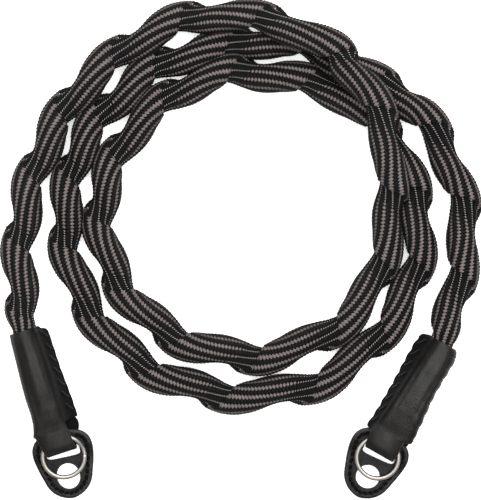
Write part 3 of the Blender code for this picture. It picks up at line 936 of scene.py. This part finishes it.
# Loose ends of the sewing thread at the sleeves' edges: where each starts, its heading and
# its length. They curl a little and rise slowly.
LOOSE_POINTS = 6
LOOSE_CURL = 70
LOOSE_RISE = 0.25
LOOSE_HEIGHT = 1.0
LOOSE_THREAD = 0.00008
loose_ends = (
    (58.6, -56.9, -38, 2.0), (57.4, -57.6, 12, 1.8), (-69.0, -43.9, 100, 1.6),
    (-69.2, -45.0, 140, 1.3), (-67.7, -48.8, 110, 1.7), (-67.2, -50.3, 75, 1.5),
)
lines = []
for x, y, heading, length in loose_ends:
    turned = np.radians(heading + np.linspace(0, LOOSE_CURL, LOOSE_POINTS))
    rise = np.full(LOOSE_POINTS, LOOSE_RISE)
    steps = np.stack([np.cos(turned), np.sin(turned), rise], axis=1)
    line_of = np.cumsum(steps * length / (LOOSE_POINTS - 1), axis=0) + (x, y, LOOSE_HEIGHT)
    lines.append(line_of * MM)
frayed = new_material("grey thread ends", (0.30, 0.29, 0.28), 0.8)
loose = threads("loose_thread_ends", lines, LOOSE_THREAD, frayed, sides=5)

# The pads: egg-shaped double leather under the rings, with a slot for the tab, an oval hole
# and a line of thick black stitches close to the rim.
PAD_THICKNESS = 1.8
PAD_LIFT = 1.5
PAD_BEND_END = 4.0
SLOT_BACK = 2.0
SLOT_SHOWING = 1.6
SLOT_HALF_WIDTH = 5.5
RIM = 0.45
PAD_SHARP = math.radians(40)
SLOT_SQUARENESS = 5
CUT_HEIGHTS = (-2.0, 6.0)
PAD_POINTS = 120
PAD_STITCHES = 30
STITCH_INSET = 1.75
STITCH_LEAN = 0.45
STITCH_REACH = 0.64
PAD_THREAD = 0.00056
KNOTS_SHARED = 3
OUTLINE_POINTS = 1200
OVAL_POINTS = 48

thread_black = new_material("black waxed thread", (0.002, 0.002, 0.0021), 0.6, 0.05)

# The oval hole's middle along from the fold, its half length and half width, and the pad's
# sideways shift and length against the form below
pad_holes = {"left": (7.8, 4.15, 3.75), "right": (8.2, 3.8, 3.85)}
pad_shapes = {"left": (0.0, 1.0), "right": (0.35, 1.03)}

# Painted light and shade at distances from the rim: a painted highlight on the rim and painted
# shade along the line of stitches
pad_shading_distances = (0, 0.5, 1.1, 1.5, 2.2, 3.0)
pad_shading = (1.15, 1.3, 0.9, 0.4, 0.45, 0.85)

# Heights of a pad stitch over the pad's face: it dips into its holes at both ends
stitch_lifts = np.array([-0.2, -0.02, 0.03, -0.02, -0.2])

# No stitches where the tab covers the rim: nearer the fold than this, and this far sideways
UNDER_TAB_ALONG = 0.5
UNDER_TAB_ACROSS = 5.6

# Millimetres along from the fold, and the half width there
pad_form = np.array([
    (-7.45, 0), (-7.3, 2.0), (-7.0, 4.0), (-6.2, 6.4), (-5.2, 8.0), (-3.6, 9.2), (-1.6, 9.75),
    (1.0, 9.7), (4.1, 9.1), (7.2, 8.2), (10.2, 7.2), (12.2, 5.9), (13.6, 4.3), (14.5, 2.6),
    (15.0, 0.9), (15.1, 0),
])


def pad_outline(end, count):
    """The egg's outline, evenly spaced, as points along and across."""
    shift, length = pad_shapes[end]
    half = pad_form * np.where(pad_form[:, :1] > 0, (length, 1), 1)
    whole = np.concatenate([half, (half * (1, -1))[-2:0:-1]]) + (0, shift)
    looped = np.concatenate([whole[-KNOTS_SHARED:], whole, whole[:KNOTS_SHARED]])
    knots = np.arange(len(looped))
    once_round = np.linspace(KNOTS_SHARED, KNOTS_SHARED + len(whole), OUTLINE_POINTS)
    fine = smooth_line(np.column_stack([knots, looped]), once_round)
    lengths = np.concatenate([[0], np.cumsum(np.linalg.norm(np.diff(fine, axis=0), axis=1))])
    even = np.linspace(0, lengths[-1], count + 1)[:-1]
    return np.stack([np.interp(even, lengths, fine[:, k]) for k in (0, 1)], axis=1)


def inset(outline, distance):
    """An outline moved inwards by a distance."""
    ahead = np.roll(outline, -1, axis=0) - np.roll(outline, 1, axis=0)
    inwards = unit(np.stack([-ahead[:, 1], ahead[:, 0]], axis=1))
    centre = outline.mean(axis=0)
    if ((centre - outline) * inwards).sum() < 0:
        inwards = -inwards
    return outline + inwards * distance


def pad_height(along):
    """Height of a pad's underside: over the tab's back layer, then down to the table."""
    share = np.clip((PAD_BEND_END - along) / (PAD_BEND_END + SLOT_BACK), 0, 1)
    return PAD_LIFT * eased(share)


def with_heights(outline, lift):
    return np.column_stack([outline, pad_height(outline[:, 0]) + lift])


def solid_between(name, outlines):
    """A closed solid through outlines from its underside to its top."""
    columns = len(outlines[0])
    shape = bmesh.new()
    rings = [[shape.verts.new(p) for p in outline] for outline in outlines]
    for below, above in zip(rings, rings[1:]):
        for i in range(columns):
            j = (i + 1) % columns
            shape.faces.new((below[i], below[j], above[j], above[i]))
    shape.faces.new(rings[0])
    shape.faces.new(rings[-1])
    bmesh.ops.recalc_face_normals(shape, faces=shape.faces)
    mesh = bpy.data.meshes.new(name)
    shape.to_mesh(mesh)
    shape.free()
    return mesh


def oval(centre, half_length, half_width, power=2):
    """An ellipse, or a rounded box at a higher power, as points along and across."""
    outline = []
    for angle in np.linspace(0, 2 * math.pi, OVAL_POINTS, endpoint=False):
        x = squared(math.cos(angle), 2 / power) * half_length + centre
        outline.append((x, squared(math.sin(angle), 2 / power) * half_width))
    return np.array(outline)


for end in ends:
    hide = leather(
        end + " pad leather", leather_colours["pad"],
        creases=420, pores=2200, stretch=1.0, strength=0.6,
    )
    outline = pad_outline(end, PAD_POINTS)
    layers = []
    for distance, lift in (
        (RIM, 0.05), (0.12, 0.15), (0, 0.45), (0, PAD_THICKNESS - 0.5),
        (0.1, PAD_THICKNESS - 0.2), (RIM, PAD_THICKNESS), (1.2, PAD_THICKNESS + 0.02),
        (1.7, PAD_THICKNESS - 0.1), (2.3, PAD_THICKNESS - 0.02), (3.2, PAD_THICKNESS),
    ):
        layers.append(end_frame(end, with_heights(inset(outline, distance), lift), True))
    body = add_object("pad_blank", solid_between("pad_blank", layers))
    slot_middle, slot_half = (SLOT_SHOWING - SLOT_BACK) / 2, (SLOT_SHOWING + SLOT_BACK) / 2
    slot = oval(slot_middle, slot_half, SLOT_HALF_WIDTH, SLOT_SQUARENESS)
    hole = oval(*pad_holes[end]) + (0, pad_shapes[end][0] / 2)
    cutters = []
    for cut in (slot, hole):
        floor_and_top = [np.column_stack([cut, np.full(len(cut), z)]) for z in CUT_HEIGHTS]
        mesh = solid_between("cutter", [end_frame(end, o, True) for o in floor_and_top])
        cutter = add_object("cutter", mesh)
        cutters.append(cutter)
        modifier = body.modifiers.new("cut", "BOOLEAN")
        modifier.operation = "DIFFERENCE"
        modifier.object = cutter
    graph = bpy.context.evaluated_depsgraph_get()
    mesh = bpy.data.meshes.new_from_object(body.evaluated_get(graph))
    for helper in (body, *cutters):
        bpy.data.objects.remove(helper)
    mesh.materials.clear()
    mesh.materials.append(hide)
    mesh.shade_smooth()
    mesh.set_sharp_from_angle(angle=PAD_SHARP)
    pad = add_object(end + "_pad_leather", mesh)
    # Painted highlight along the rim and painted shade along the line of stitches, by distance
    # from the rim
    rim = end_frame(end, with_heights(outline, 0), True)[:, :2]
    flat = np.array([v.co[:2] for v in mesh.vertices])
    from_rim = np.linalg.norm(flat[:, None] - rim[None], axis=2).min(axis=1) / MM
    paint_points(pad, "painted_shading", np.interp(from_rim, pad_shading_distances, pad_shading))
    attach(pad, "root")
    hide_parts(end + "_pad")

    seam = inset(pad_outline(end, PAD_STITCHES), STITCH_INSET)
    ahead = unit(np.roll(seam, -1, axis=0) - np.roll(seam, 1, axis=0))
    stitches = []
    for at, direction in zip(seam, ahead):
        if at[0] < UNDER_TAB_ALONG and abs(at[1]) < UNDER_TAB_ACROSS:
            continue
        slanted = direction + STITCH_LEAN * np.array([-direction[1], direction[0]])
        reach = np.linspace(-STITCH_REACH, STITCH_REACH, len(stitch_lifts))
        steps = with_heights(at + slanted * reach[:, None], PAD_THICKNESS + stitch_lifts)
        stitches.append(end_frame(end, steps, True))
    seam = threads(end + "_pad_stitches", stitches, PAD_THREAD, thread_black)

# The split rings: two laps of flattened nickel-plated wire, one on the other, with a step
# where the wire climbs to the upper lap. They lie in the tabs' folds, the right one with its
# cut ends under the tab.
RING_RADIUS = 6.7
RING_HALF_WIDTH = 0.66
RING_HALF_LAP = 0.36
RING_PITCH = 0.74
RING_CENTRE = 1.3
RING_HEIGHT = 3.84
RING_REACH = 7.35
RING_TILT = math.atan(PAD_LIFT / (RING_CENTRE + RING_REACH + SLOT_BACK))
RING_STEP = math.radians(50)
RING_END_GAP = 0.12
RING_SQUARENESS = 0.8
RING_SECTIONS = 190
RING_CORNERS = 14
CUT_END = 0.55
CUT_GROWTH = 14
ring_split = {"left": math.radians(142), "right": math.radians(237)}

for end in ends:
    nickel = new_material(end + " ring nickel", (0.36, 0.335, 0.31), 0.4, metallic=1.0)
    tree = nickel.node_tree
    # Painted reflection: the wire's colour is lighter where its section faces up and darker on its
    # sides, with a little random tarnish
    tarnish = sum_node(tree, "MULTIPLY_ADD", noise_node(tree, 1800), 0.16, 0.92)
    bright = sum_node(tree, "MULTIPLY", painted_node(tree, "painted_reflection"), tarnish)
    colour_between(tree, bright, (0.09, 0.083, 0.078), (0.25, 0.233, 0.217))
    corner_turns = np.linspace(0, 2 * math.pi, RING_CORNERS, endpoint=False)
    sections = []
    last = 4 * math.pi - RING_STEP - RING_END_GAP
    for angle in np.linspace(0, last, RING_SECTIONS):
        climb = min(max((angle - (2 * math.pi - RING_STEP)) / RING_STEP, 0), 1)
        middle = RING_PITCH * (eased(climb) - 0.5)
        blunt = min(1, CUT_END + min(angle, last - angle) * CUT_GROWTH)
        around_ring = angle + ring_split[end]
        section = []
        for turn in corner_turns:
            c, s = math.cos(turn), math.sin(turn)
            wide = RING_RADIUS + squared(c, RING_SQUARENESS) * RING_HALF_WIDTH * blunt
            tall = middle + squared(s, RING_SQUARENESS) * RING_HALF_LAP * blunt
            x, y = wide * math.cos(around_ring), wide * math.sin(around_ring)
            section.append((
                RING_CENTRE + x * math.cos(RING_TILT) + tall * math.sin(RING_TILT),
                y,
                RING_HEIGHT - x * math.sin(RING_TILT) + tall * math.cos(RING_TILT),
            ))
        sections.append(end_frame(end, section, True))
    ring = smooth_skin(end + "_split_ring", sections, nickel, sharp=60)
    # Painted reflection: each section is painted lightest where it faces straight up
    facing = np.maximum(np.sin(corner_turns), 0)
    paint_points(ring, "painted_reflection", np.tile(facing, len(sections)))
    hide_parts(end + "_ring")
